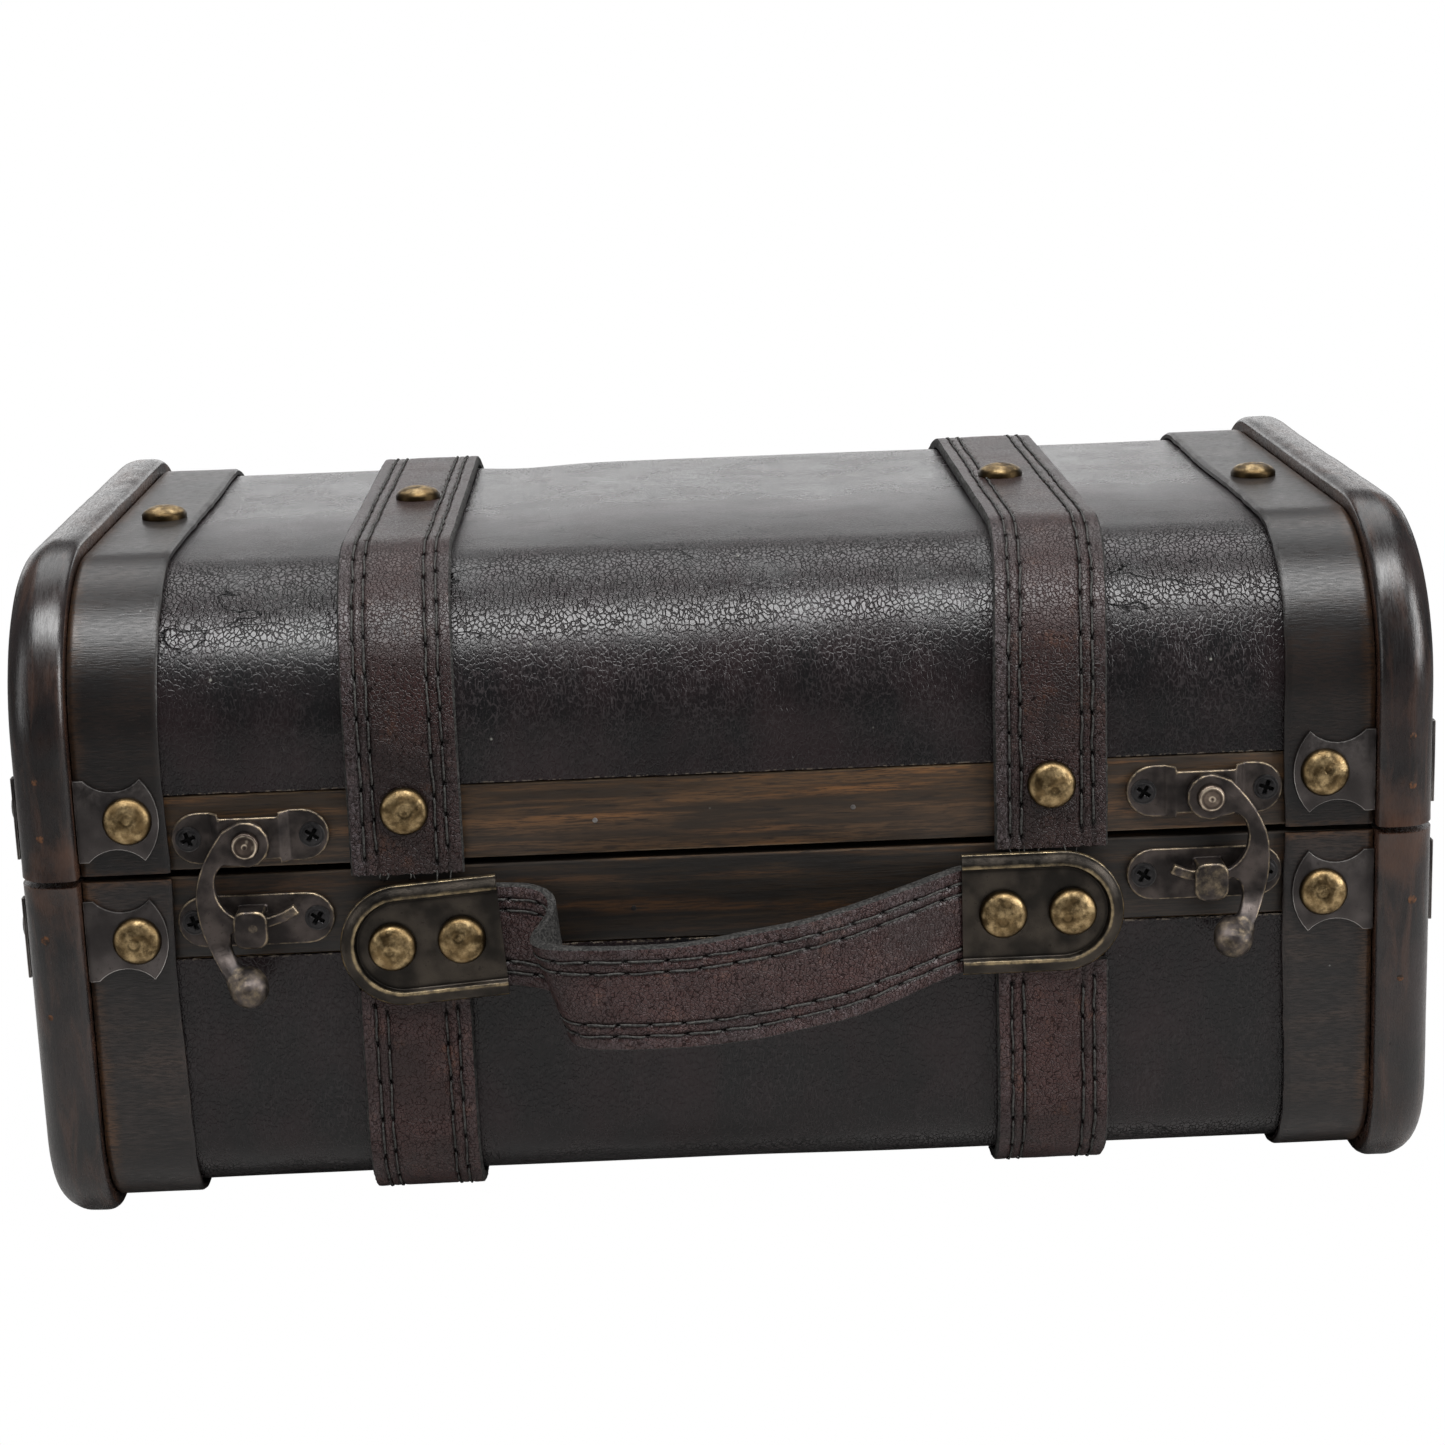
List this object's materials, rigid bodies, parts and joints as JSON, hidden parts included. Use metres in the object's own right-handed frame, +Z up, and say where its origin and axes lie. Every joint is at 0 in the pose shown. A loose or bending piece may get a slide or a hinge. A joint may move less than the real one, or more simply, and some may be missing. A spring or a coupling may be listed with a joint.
{
  "type": "wooden suitcase box",
  "caption": "Hinged wooden suitcase box with rounded shells between solid end boards, leather skin and straps, swing-hook latches and a leather carrying handle.",
  "frame": {"origin": "middle of the whole object's footprint, on the surface it stands on", "axes": "+X to the right seen from the front, +Y from the front with the handle towards the rear hinges, +Z up"},
  "size_m": [0.3272, 0.2212, 0.1582],
  "materials": {
    "board_wood": "dark stained hardwood, glossy varnish worn reddish brown on the edges",
    "band_wood": "dark cross-grained veneer strip, worn",
    "rail_wood": "brown stained wood with horizontal grain",
    "plywood": "bent plywood",
    "skin_leather": "near-black pebbled leather, scuffed",
    "strap_leather": "burgundy-brown leather with raw fibrous edges and double stitching",
    "lining": "brown felt",
    "stud_brass": "antique brass, polished on the crown",
    "bronze": "dark antique bronze with bright worn edges",
    "dark_tin": "blackened sheet with bright worn outlines"
  },
  "bodies": {
    "base": {"base_shell": "plywood", "base_leather": "skin_leather", "base_lining": "lining", "base_front_rail": "rail_wood", "base_rear_rail": "rail_wood", "base_end_board_left": "board_wood", "base_end_board_right": "board_wood", "base_band_left": "band_wood", "base_band_right": "band_wood", "base_corner_plate_left": "dark_tin", "base_corner_plate_right": "dark_tin", "base_corner_stud_left": "stud_brass", "base_corner_stud_right": "stud_brass", "base_end_plate_left": "dark_tin", "base_end_plate_right": "dark_tin", "base_strap_left": "strap_leather", "base_strap_right": "strap_leather", "handle_plate_left": "bronze", "handle_plate_right": "bronze", "handle_rivet_left_outer": "stud_brass", "handle_rivet_left_inner": "stud_brass", "handle_rivet_right_outer": "stud_brass", "handle_rivet_right_inner": "stud_brass", "handle_strap": "strap_leather", "catch_plate_left": "bronze", "catch_plate_right": "bronze", "hinge_base_leaf_left": "bronze", "hinge_base_leaf_right": "bronze"},
    "lid": {"lid_shell": "plywood", "lid_leather": "skin_leather", "lid_lining": "lining", "lid_front_rail": "rail_wood", "lid_rear_rail": "rail_wood", "lid_end_board_left": "board_wood", "lid_end_board_right": "board_wood", "lid_band_left": "band_wood", "lid_band_right": "band_wood", "lid_corner_plate_left": "dark_tin", "lid_corner_plate_right": "dark_tin", "lid_corner_stud_left": "stud_brass", "lid_corner_stud_right": "stud_brass", "lid_end_plate_left": "dark_tin", "lid_end_plate_right": "dark_tin", "lid_strap_left": "strap_leather", "lid_strap_right": "strap_leather", "strap_front_stud_left": "stud_brass", "strap_front_stud_right": "stud_brass", "strap_top_stud_left": "stud_brass", "strap_top_stud_right": "stud_brass", "band_top_stud_left": "stud_brass", "band_top_stud_right": "stud_brass", "latch_plate_left": "bronze", "latch_plate_right": "bronze", "latch_pivot_left": "bronze", "latch_pivot_right": "bronze", "hinge_lid_leaf_left": "bronze", "hinge_lid_leaf_right": "bronze"},
    "hook_left": {"latch_hook_left": "bronze"},
    "hook_right": {"latch_hook_right": "bronze"}
  },
  "joints": [
    {"name": "lid_hinge", "type": "hinge", "parent": "base", "child": "lid", "pos_m": [0, 0.10831, 0.0863], "axis": [-1, 0, 0], "range_deg": [0, 105]},
    {"name": "hook_left_swing", "type": "hinge", "parent": "lid", "child": "hook_left", "pos_m": [-0.1084, -0.0893, 0.0939], "axis": [0, 1, 0], "range_deg": [0, 58]},
    {"name": "hook_right_swing", "type": "hinge", "parent": "lid", "child": "hook_right", "pos_m": [0.1084, -0.0893, 0.0958], "axis": [0, -1, 0], "range_deg": [0, 51]}
  ]
}
